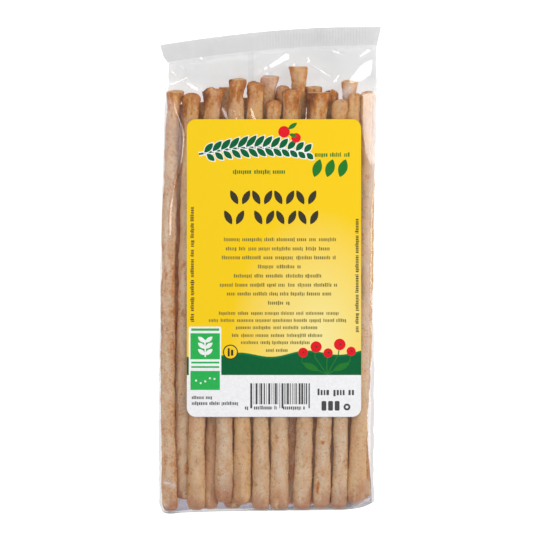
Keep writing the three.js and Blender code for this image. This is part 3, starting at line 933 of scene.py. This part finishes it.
def slopes_level(x, y, right):
    """How high the film's slopes are: down to the pack's two sides, and the right-hand facet."""
    fall = np.maximum(smooth_through(LEFT_SHOULDER, y) - x, x - smooth_through(RIGHT_SHOULDER, y))
    shoulders = CREST - SHOULDER_SLOPE * np.maximum(fall, 0)
    x = np.minimum(x, lerp(right, FACET_SIDE, ramp(*FACET_TURN, y)))
    facet = FACET_POINT[2] + FACET_SLOPES[0] * (x - FACET_POINT[0])
    facet = facet + FACET_SLOPES[1] * (y - FACET_POINT[1]) + FACET_LIFT * (1 - ramp(*FACET_LOW, y))
    return np.minimum(shoulders, facet)


def under_label(x, y):
    (left, low), (right, high) = LABEL_LOW[:2] - LABEL_MARGIN, LABEL_HIGH[:2] + LABEL_MARGIN
    return (x > left) & (x < right) & (y > low) & (y < high)


def front_film(lines, rng, stations, x, right):
    """The height of the front film: its form, drawn tight over the sticks, with waves and folds."""
    y = y_at(x, stations)
    loose = fall_at(x, stations)
    covered = under_label(x, y)
    tops = stick_tops(lines, x, y) + FRONT_MARGIN
    slopes = np.maximum(slopes_level(x, y, right), seal_level(x) + LEAST_OPENING)
    form = np.minimum(front_form(x, stations), slopes)
    gap = np.clip(form - tops, 0, DEEPEST_GAP) * (1 - ramp(0.0, 0.35, loose)) * end_fullness(stations)
    front = form - VALLEY_SHARE * gap * (form > CREST - 0.4)
    low = np.minimum(np.maximum(tops, 0), np.where(covered, CREST, form + PUSH_OUT))
    front = ease(np.maximum(front, low), low)
    fine = FINE_WAVE * waves(rng, 14, 24, 5)(x, y, 2.2)
    broad = BROAD_WAVE * waves(rng, 12, 34, 9)(x, y) * ramp(0.02, 0.2, loose)
    crinkle = CRINKLE * waves(rng, 12, 8, 3)(x, y)
    edge = ramp(0, 2, x - x[:, :1]) * ramp(0, 2, x[:, -1:] - x)
    edge = edge * end_fullness(stations) * ramp(1.0, 0.9, loose)
    front = lay_creases(x, y, lay_patches(x, y, front + (fine + broad) * edge, crinkle))
    return np.where(covered, np.minimum(front, CREST), front)


def back_film(lines, rng, stations, x):
    """The height of the back film, which dips between the sticks but not into the floor."""
    y = y_at(x, stations)
    phase = (x - BACK_LEAN * stations) / BACK_PITCH
    valley = ramp(0.25, 0.5, np.abs(phase - np.round(phase)))
    closed = ramp(SLACK_TOP - RISE_REACH, SLACK_TOP + 1, stations)
    back = back_form(x, stations) + BACK_VALLEY * valley * end_fullness(stations) * (1 - closed)
    back = back + BACK_WAVE * closed * (1 - closed) * waves(rng, 10, 40, 12)(x, y)
    back = np.minimum(back, stick_bottoms(lines, x, y, BACK_MARGIN))
    return np.maximum(back, FILM_OFF_FLOOR)


def film_body(lines):
    """The bag's points, how folded the film is at each, with painted shade at its sides and closed end, and
    how much white it shows as painted sheen.
    """
    stations = film_stations()[:, None]
    left, right = sides(stations)
    rng = np.random.default_rng(BODY_SEED)
    left = left + EDGE_WAVE * waves(rng, 12, 14, 4)(stations, 0)
    right = right - EDGE_WAVE * waves(rng, 12, 14, 4)(stations, 0)
    slim = 0.49 * (front_form(left, stations) - back_form(left, stations))
    radius = np.minimum(lerp(CORNER_RADIUS, CREASE_RADIUS, ramp(*CORNER_TURN, stations)), slim)
    start, end = left + radius, right - radius
    x, xb = (lerp(start, end, np.linspace(0, 1, count)[None, :])
             for count in (FRONT_COLUMNS, BACK_COLUMNS))
    front = front_film(lines, rng, stations, x, right)
    back = back_film(lines, rng, stations, xb)
    xs, zs = ring_columns(left, right, radius, front, back, x, xb)
    ys = y_at(xs, stations)
    from_side = np.minimum(xs - left, right - xs)
    # The fold mark darkens the film along the sides and the closed end: creased film, and painted shade
    # where it turns down to the floor.
    side_fold = np.where(xs < 0, SIDE_FOLD, lerp(*RIGHT_FOLDS, ramp(*RIGHT_FOLD_LEVELS, stations)))
    folds = side_fold * ramp(SIDE_FOLD_REACH, 0.3, from_side) * ramp(91, 84, stations)
    folds = np.maximum(folds, ramp(END_FOLD_REACH, 0.2, stations - BOTTOM_END))
    over = slice(2 * CORNER_STEPS, 2 * CORNER_STEPS + FRONT_COLUMNS)
    painted_sheen = np.zeros_like(xs)
    painted_sheen[:, over] = sheen_share(xs[:, over], ys[:, over], from_side[:, over])
    return np.stack([xs, ys, zs], -1), folds, painted_sheen


def thin_sheet(x, stations, middle, half):
    """A flat sheet of film, each ring over its top and back along its underside."""
    xs = np.concatenate([x, x[:, ::-1]], 1)
    zs = np.concatenate([middle + half, (middle - half)[:, ::-1]], 1)
    return np.stack([xs, y_at(xs, stations), zs], -1)


RIB_PITCH, RIB_DEPTH, RIB_SHARES = 1.5, 0.018, (0.05, 0.15)
SEAL_COLUMNS, SEAL_RINGS, SEAL_HALF, SEAL_UNEVEN = 480, 14, 0.12, 0.06


def film_seal():
    """The crimped top seal: both films pressed together with fine ribs along the pack."""
    stations = np.linspace(SLACK_TOP, TOP_END, SEAL_RINGS)[:, None]
    x = lerp(*sides(stations), np.linspace(0, 1, SEAL_COLUMNS)[None, :])
    pressed = ramp(SLACK_TOP + 0.6, SLACK_TOP + 1.6, stations)
    rib = RIB_DEPTH * np.cos(2 * math.pi * x / RIB_PITCH) * pressed
    rng = np.random.default_rng(SEAL_SEED)
    uneven = SEAL_UNEVEN * waves(rng, 9, 30, 9)(x, y_at(x, stations))
    points = thin_sheet(x, stations, seal_level(x) + 0.5 * SEAL_THICKNESS + rib + uneven, SEAL_HALF)
    xs = points[..., 0]
    strong = lerp(*RIB_SHARES, ramp(-12, 4, xs) * ramp(56, 44, xs))
    return points, strong * ramp(0.2, 0.9, np.cos(2 * math.pi * xs / RIB_PITCH)) * pressed


SEAM_MIDDLE, SEAM_WIDTH, SEAM_LIFT, SEAM_HALF = -9.6, 2.9, 0.15, 0.04


def film_seam():
    """The lap of the back film, up the whole bag. It lies mostly just inside the back film, and
    crosses it in places."""
    stations = np.concatenate([np.arange(BOTTOM_END + 4, 80, 4.0), np.arange(80, SLACK_TOP, 1.0)])[:, None]
    x = SEAM_MIDDLE + SEAM_WIDTH * np.linspace(-0.5, 0.5, 7)[None, :] + 0 * stations
    z = np.maximum(back_form(x, stations), FILM_OFF_FLOOR) + SEAM_LIFT
    return thin_sheet(x, stations, z, SEAM_HALF)


FOOT_FOLD_DEPTH, FOOT_FOLD_LIFT, FOOT_FOLD_HALF, FOOT_FOLD_WAVE = 13.0, 0.3, 0.05, 0.08
FOOT_FOLD_INSETS = (1.2, 1.0)  # from the bag's left and right side


def film_foot_fold():
    """The fin of the closed end, folded flat. It lies mostly just inside the back film, not under
    it, and crosses it in places."""
    stations = BOTTOM_END + np.linspace(0.6, FOOT_FOLD_DEPTH, 24)[:, None]
    left, right = sides(stations)
    left, right = left + FOOT_FOLD_INSETS[0], right - FOOT_FOLD_INSETS[1]
    x = lerp(left, right, np.linspace(0, 1, 160)[None, :])
    rng = np.random.default_rng(FOLD_SEED)
    z = np.maximum(back_form(x, stations), FILM_OFF_FLOOR) + FOOT_FOLD_LIFT
    z = z + FOOT_FOLD_WAVE * waves(rng, 8, 22, 6)(x, y_at(x, stations))
    return thin_sheet(x, stations, z, FOOT_FOLD_HALF)


def mark(piece, name, values):
    """Stores one value for each point, which a material reads."""
    attribute = piece.data.attributes.new(name, "FLOAT", "POINT")
    attribute.data.foreach_set("value", np.asarray(values, np.float32).ravel())


def add_film(name, points, films, **ends):
    """A film piece. With two films, the second one is that of the back, which lies on the floor."""
    rings, around = points.shape[:2]
    faces = loft_faces(rings, around, **ends)
    front_end = FRONT_COLUMNS + 3 * (CORNER_STEPS + 1)
    behind = [len(films) > 1 and front_end <= face[0] % around for face in faces]
    piece = make_mesh(name, points.reshape(-1, 3), faces, films, behind)
    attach(piece, "root")
    return piece


# ---- Label ----

YELLOW, PALE_YELLOW = (0.96, 0.635, 0.013), (0.96, 0.83, 0.34)
INK = {
    "white": (0.91, 0.91, 0.925), "dark_green": (0.004, 0.125, 0.040), "panel_green": (0.030, 0.46, 0.092),
    "leaf_green": (0.022, 0.20, 0.030), "charcoal": (0.046, 0.043, 0.026), "text": (0.23, 0.19, 0.05),
    "red": (0.80, 0.012, 0.022), "dark_grey": (0.075, 0.075, 0.078), "grey": (0.27, 0.27, 0.28),
    "edge_green": (0.006, 0.20, 0.055),
}
INK_NAMES = ["field", *INK]


def field_material():
    """The label's yellow, which fades to a pale yellow towards its lower middle."""
    material, tree, place = new_material("label_field")
    moved = add(tree, "Mapping", {"Vector": place, "Location": (-0.62, 0.62, 0.0),
                                  "Scale": (26.0, 17.0, 0.0)}).outputs[0]
    reach = add(tree, "VectorMath", {0: moved}, operation="LENGTH").outputs["Value"]
    pale = span(tree, reach, 0.05, 1.15, 1.0, 0.0)
    printed(tree, blend_colours(tree, pale, YELLOW, PALE_YELLOW))
    return material


def ink_material(name):
    material, tree, place = new_material("label_" + name)
    mottle = span(tree, noise(tree, place, 700.0), 0.3, 0.7, 0.96, 1.04)
    printed(tree, times(tree, INK[name], mottle))
    return material


def bar(left, top, right, bottom, radius=0.0):
    if not radius:
        return [(left, top), (right, top), (right, bottom), (left, bottom)]
    corners = ((right - radius, top + radius, -90), (right - radius, bottom - radius, 0),
               (left + radius, bottom - radius, 90), (left + radius, top + radius, 180))
    turns = [math.radians(90 * step / 8) for step in range(9)]
    return [(u + radius * math.cos(math.radians(start) + turn),
             v + radius * math.sin(math.radians(start) + turn))
            for u, v, start in corners for turn in turns]


def disc(u, v, radius, sides=28):
    return [(u + radius * math.cos(2 * math.pi * i / sides), v + radius * math.sin(2 * math.pi * i / sides))
            for i in range(sides)]


def leaf(u, v, length, width, turn):
    """A lens-shaped leaf or grain from (u, v), turned anticlockwise from the label's right."""
    side = [(t, 0.5 * width * math.sin(math.pi * t) ** 0.8) for t in (i / 12 for i in range(13))]
    outline = side + [(t, -w) for t, w in side[-2:0:-1]]
    c, s = math.cos(math.radians(turn)), math.sin(math.radians(turn))
    return [(u + t * length * c + w * s, v - t * length * s + w * c) for t, w in outline]


def stroke(points, width):
    """A line of even width through points."""
    points = np.array(points, float)
    along = np.gradient(points, axis=0)
    along /= np.hypot(*along.T)[:, None]
    side = 0.5 * width * np.stack([-along[:, 1], along[:, 0]], -1)
    return [tuple(p) for p in np.concatenate([points + side, (points - side)[::-1]])]


def widened(outline, by):
    """An outline grown about its middle, for the white edge behind a motif."""
    points = np.array(outline)
    middle = points.mean(0)
    away = points - middle
    return [tuple(p) for p in middle + away * (1 + by / np.hypot(*away.T).max())]


def text_line(rng, v, left, right, height, ink, upright=False):
    """A line of greeked words: plain blocks in place of letters."""
    shapes = []
    u = left
    while u < right - 1:
        word = min(rng.uniform(3.5, 10), right - u)
        stop = u + word
        while u < stop - 0.3:
            wide = min(rng.uniform(0.45, 0.75) * height / 1.5, stop - u)
            rise = 0.25 * height * (rng.random() < 0.2)
            fall = 0.2 * height * (rng.random() < 0.1)
            block = bar(u, v - height / 2 - rise, u + wide, v + height / 2 + fall)
            shapes.append((ink, [(b, a) for a, b in block][::-1] if upright else block))
            u += wide + 0.32 * height / 1.5
        u = stop + 0.75 * height
    return shapes


def wave_edge(left, right, level, swing, length, count=60):
    return [(u, level + swing * math.sin(2 * math.pi * u / length) - 0.03 * (u - left))
            for u in np.linspace(left, right, count)]


WIDTH, HEIGHT = LABEL_HIGH[0] - LABEL_LOW[0], LABEL_HIGH[1] - LABEL_LOW[1]
LABEL_RADIUS, LABEL_SUNK = 4.5, 0.05
BAND_TOP, BAND_BOTTOM = 118.5, 127.65


def spray():
    """A generic ear of grain lying across the label's head."""
    shapes = []
    us = np.linspace(6, 60, 40)
    stem = [(u, 17.5 - 3.4 * math.sin((u - 6) / 54 * math.pi * 0.95)) for u in us]
    shapes.append(("white", stroke(stem, 2.2)))
    shapes.append(("dark_green", stroke(stem, 0.9)))
    leaves = []
    for i in range(2, 39, 3):
        u, v = stem[i]
        length = 8.0 - 2.6 * abs(i - 16) / 22
        leaves.append(leaf(u, v - 0.3, length, 3.0, 48))
        leaves.append(leaf(u + 1.2, v + 0.3, length * 0.82, 2.8, -42))
    shapes += [("white", widened(outline, 0.7)) for outline in leaves]
    shapes += [("dark_green", outline) for outline in leaves]
    return shapes


# Two rows of plain grains where the pack's title would be: top, bottom and where each grain starts.
TITLE_ROWS = [
    (35.5, 42.5, np.arange(21.5, 63, 5.5)),
    (45.5, 52.5, (18.5, 24.0, 33.5, 39.0, 44.5, 50.0, 55.5, 61.0)),
]
TITLE_LEAN = 62


def title():
    shapes = []
    for top, bottom, starts in TITLE_ROWS:
        long = (bottom - top) / math.sin(math.radians(TITLE_LEAN))
        for k, u in enumerate(starts):
            shift, turn = (0.7, TITLE_LEAN) if k % 2 else (4.0, 180 - TITLE_LEAN)
            shapes.append(("charcoal", leaf(u + shift, bottom, long, 3.3, turn)))
    return shapes


# Each part of the green panel at the left: its left edge, top, right edge and bottom.
PANEL_PARTS = [
    (1.8, 106.8, 16.5, 119.8), (1.8, 125.6, 16.5, 135.1), (2.2, 104.4, 16.2, 105.6),
    (2.2, 121.0, 16.2, 121.9), (2.2, 123.2, 16.2, 124.1),
]


def panels():
    shapes = [("white", bar(1.0, 103.5, 17.2, 135.75, 0.8))]
    shapes += [("panel_green", bar(*part)) for part in PANEL_PARTS]
    shapes += [("white", stroke([(9.2, 118.6), (9.2, 115.0), (9.0, 110.0)], 0.7))]
    shapes += [("white", leaf(9.2, y, 4.6, 2.1, turn)) for y in (117.6, 114.4, 111.4) for turn in (38, 142)]
    shapes += [("white", disc(4.6 + 2.3 * i, 130.4 + 1.3 * math.sin(1.4 * i), 0.5, 12)) for i in range(5)]
    return shapes


BERRIES = [
    (58, 116.4, 2.4), (64.5, 113.6, 2.8), (70.5, 116.6, 2.3), (76.3, 112.4, 2.9), (82, 115.8, 2.3),
]


def band():
    edge = wave_edge(0, WIDTH, BAND_TOP, 1.3, 34.0)
    lower = [(u, v + 0.9) for u, v in edge]
    feet = [(WIDTH, BAND_BOTTOM), (0, BAND_BOTTOM)]
    shapes = [("edge_green", edge + feet), ("dark_green", lower + feet)]
    for u, v, reach in BERRIES:
        shapes.append(("leaf_green", stroke([(u, v), (u - 0.7, v + 5), (70, 127.4)], 0.55)))
        shapes.append(("red", disc(u, v, reach)))
        shapes.append(("charcoal", disc(u + 0.2, v - 0.1, 0.45, 12)))
    shapes += [("leaf_green", leaf(u, 125.5, 9, 3.2, turn)) for u, turn in ((66, 155), (73, 25))]
    return shapes


# Lines of text: how far down the label, left, right, and the letters' height in the foot band.
FOOT_LINES = [
    (144.1, 29.0, 30.6, 1.5), (144.1, 33.5, 44.9, 1.5), (144.1, 48.0, 59.4, 1.5),
    (139.0, 2.5, 12.8, 1.3), (141.9, 2.5, 25.5, 1.4), (136.4, 65.2, 83.4, 2.6),
]


def foot_band(rng):
    shapes = [("white", bar(0, BAND_BOTTOM, WIDTH, HEIGHT))]
    u = 31.65
    while u < 61.0:
        wide = rng.choice((0.33, 0.33, 0.66, 0.99))
        guard = u < 32.5 or u > 60.2 or abs(u - 46.6) < 0.8
        ink = "dark_grey" if rng.random() < 0.75 else "grey"
        shapes.append((ink, bar(u, 131.75, u + wide, 144.25 if guard else 142.25)))
        u += wide + rng.choice((0.33, 0.4, 0.66))
    for v, left, right, height in FOOT_LINES:
        shapes += text_line(rng, v, left, right, height, "dark_grey")
    shapes += [("dark_grey", bar(67.2 + 3.3 * i, 140.6, 69.6 + 3.3 * i, 145.4, 0.6)) for i in range(3)]
    shapes += [("dark_grey", disc(79.9, 143.6, 1.7)), ("white", disc(79.9, 143.6, 0.7, 16))]
    return shapes


TEXT_LINES = [
    (60.15, 18.5, 74.5), (64.75, 19.5, 72.5), (69.2, 17.5, 74.5), (73.7, 35.5, 57), (78.3, 23.5, 68.5),
    (82.85, 16.5, 75.5), (87.25, 20, 72), (91.8, 40.5, 51.5),
]
TABLE_LINES = [
    (96.95, 16, 76), (100.5, 11, 79.5), (104.1, 24.5, 65.5), (108, 22.5, 67.5), (111.55, 27, 63),
    (115.45, 39.5, 50.5),
]


def print_shapes():
    rng = np.random.default_rng(31)
    shapes = [("field", bar(0, 0, WIDTH, HEIGHT))]
    shapes += spray()
    shapes += [("red", disc(u, v, r)) for u, v, r in ((48.5, 6.3, 2.9), (54.5, 9.3, 2.4))]
    shapes += [("leaf_green", leaf(50.5, 5.0, 5.5, 2.2, 35)),
               ("leaf_green", leaf(51.0, 7.5, 4.0, 1.8, -15))]
    shapes += text_line(rng, 26.4, 23, 50, 1.7, "leaf_green")
    shapes += text_line(rng, 17.9, 64, 81.5, 1.7, "leaf_green")
    shapes += [("leaf_green", leaf(u, 28.9, 9.4, 4.6, 72)) for u in (63.6, 70.0, 76.4)]
    shapes += title()
    for v, left, right in TEXT_LINES:
        shapes += text_line(rng, v, left, right, 1.5, "text")
    for v, left, right in TABLE_LINES:
        shapes += text_line(rng, v, left, right, 1.35, "text")
    for u, left, right in ((2.8, 43.75, 102.25), (85.0, 49.75, 106.25)):
        shapes += text_line(rng, u, left, right, 1.4, "charcoal", upright=True)
    shapes += band() + foot_band(rng) + panels()
    shapes += [("charcoal", disc(21.75, 116.2, 3.75, 36)), ("field", disc(21.75, 116.2, 3.2, 36)),
               ("charcoal", bar(20.4, 114.2, 21.4, 118.4, 0.3)),
               ("charcoal", bar(22.0, 115.0, 23.2, 118.0, 0.3))]
    return shapes


def cut_regions(shapes):
    """Cuts the label's outline along all shapes. Returns the points, the triangles and the ink of
    each triangle, which is that of the last shape over it."""
    outline = bar(0, 0, WIDTH, HEIGHT, LABEL_RADIUS)
    points, loops, start = [], [], 0
    for shape in [shape for _, shape in shapes] + [outline]:
        placed = np.array([(u, -v) for u, v in shape])
        onward = np.roll(placed, -1, 0)
        turns_left = (placed[:, 0] * onward[:, 1] - placed[:, 1] * onward[:, 0]).sum() > 0
        points += (placed if turns_left else placed[::-1]).tolist()
        loops.append(list(range(start, start + len(shape))))
        start += len(shape)
    placed, _, triangles, _, _, owners = geometry.delaunay_2d_cdt(points, [], loops, 1, 1e-4)
    inside = len(loops) - 1
    kept, inks = [], []
    for triangle, owner in zip(triangles, owners):
        if inside in owner:
            a, b, c = (placed[i] for i in triangle)
            turned = (b[0] - a[0]) * (c[1] - a[1]) - (b[1] - a[1]) * (c[0] - a[0]) > 0
            kept.append(list(triangle if turned else triangle[::-1]))
            inks.append(INK_NAMES.index(shapes[max(i for i in owner if i != inside)][0]))
    return np.array([tuple(p) for p in placed]), kept, inks


def rim_of(triangles):
    """The edges that only one triangle has."""
    edges = {edge for a, b, c in triangles for edge in ((a, b), (b, c), (c, a))}
    return sorted((a, b) for a, b in edges if (b, a) not in edges)


def build_label():
    """The printed label: its top is cut into one region for each shape of the print."""
    placed, kept, inks = cut_regions(print_shapes())
    count = len(placed)
    place = np.concatenate([placed, placed])
    x, y = place[:, 0] + LABEL_LOW[0], place[:, 1] + LABEL_HIGH[1]
    z = np.where(np.arange(2 * count) < count, LABEL_HIGH[2] - LABEL_SUNK, LABEL_LOW[2])
    rim = rim_of(kept)
    faces = kept + [[i + count for i in t[::-1]] for t in kept]
    faces += [[b, a, a + count, b + count] for a, b in rim]
    slots = inks + [INK_NAMES.index("white")] * (len(kept) + len(rim))
    materials = [field_material()] + [ink_material(name) for name in INK]
    piece = make_mesh("label_print", np.stack([x, y, z], -1), faces, materials, slots, smooth=False)
    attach(piece, "root")
    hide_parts("label")


# ---- Floor, light and camera ----

def build_floor():
    material, tree, place = new_material("floor_white")
    even = span(tree, noise(tree, place, 3.0), 0.0, 1.0, 0.54, 0.56)
    shade = add(tree, "BsdfPrincipled", {
        "Base Color": even, "Roughness": 1.0, "Specular IOR Level": 0.0,
        "Emission Color": rgba((1.0, 1.0, 1.0)), "Emission Strength": FLOOR_GLOW})
    finish_surface(tree, shade.outputs[0])
    corners = [(x * FLOOR_HALF, y * FLOOR_HALF, FLOOR_LEVEL)
               for x, y in ((-1, -1), (1, -1), (1, 1), (-1, 1))]
    floor = make_mesh("floor", corners, [[0, 1, 2, 3]], [material], smooth=False)


def build_softbox(name, place, size, radiance):
    """A rectangular lamp that faces the middle of the pack. size is along the pack, then across."""
    lamp = bpy.data.lights.new(name, "AREA")
    lamp.shape = "RECTANGLE"
    lamp.size, lamp.size_y = (side * MM for side in size)
    lamp.energy = radiance * math.pi * lamp.size * lamp.size_y
    holder = bpy.data.objects.new(name, lamp)
    holder.location = [c * MM for c in place]
    away = holder.location.copy()
    away.y = 0
    holder.rotation_euler = away.to_track_quat("Z", "Y").to_euler()
    bpy.context.scene.collection.objects.link(holder)
    return holder


def build_light():
    bpy.context.scene.view_settings.view_transform = "Standard"
    world = bpy.data.worlds.new("soft_room")
    bpy.context.scene.world = world
    world.use_nodes = True
    tree = world.node_tree
    tree.nodes.clear()
    around = add(tree, "TexCoord").outputs["Generated"]
    height = add(tree, "SeparateXYZ", {"Vector": around}).outputs["Z"]
    strength = span(tree, height, *CEILING_SINE, ROOM_LIGHT, CEILING_LIGHT)
    back = add(tree, "Background", {"Color": rgba((1.0, 1.0, 1.0)), "Strength": strength})
    add(tree, "OutputWorld", {"Surface": back.outputs[0]})
    build_softbox("softbox_left", (-SOFTBOX[0], *SOFTBOX[1:]), LEFT_SIZE, LEFT_LIGHT)
    build_softbox("softbox_right", SOFTBOX, RIGHT_SIZE, RIGHT_LIGHT)
    fill = build_softbox("softbox_fill", FILL, FILL_SIZE, FILL_LIGHT)
    fill.visible_glossy = False


def build_camera():
    lens = bpy.data.cameras.new("camera")
    lens.sensor_width = SENSOR
    lens.lens = SENSOR * (CAMERA_HEIGHT - LABEL_HIGH[2]) / PHOTO_SIDE
    lens.clip_end = 10.0
    holder = bpy.data.objects.new("camera", lens)
    holder.location = (0.0, 0.0, CAMERA_HEIGHT * MM)
    bpy.context.scene.collection.objects.link(holder)
    bpy.context.scene.camera = holder


def build_pack():
    lines = stick_lines()
    crust = bread_material()
    for number, (stick, line) in enumerate(zip(STICKS, lines), 1):
        piece = build_stick(number, stick, line, crust)
        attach(piece, "root")
    films = [film_material("front_film", 0.012, FRONT_TINT),
             film_material("back_film", 0.012, BACK_TINT, slack_shade_tint=SLACK_SHADE_TINT)]
    points, folds, painted_sheen = film_body(lines)
    body = add_film("film_bag", points, films, open_end=True)
    mark(body, "fold", folds)
    mark(body, "painted_sheen", painted_sheen)
    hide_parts("bag")
    points, ribs = film_seal()
    sealed = film_material("sealed_film", 0.03, SEAL_TINT)
    seal = add_film("film_top_seal", points, [sealed], open_start=True)
    mark(seal, "fold", ribs)
    add_film("film_foot_fold", film_foot_fold(), [film_material("folded_film", 0.06, FOLDED_FIN_AND_SHADE_TINT, 0.03)])
    add_film("film_back_seam", film_seam(), [film_material("lapped_film", 0.005, SEAM_TINT, 0.01)])
    build_label()


build_pack()
build_floor()
build_light()
build_camera()
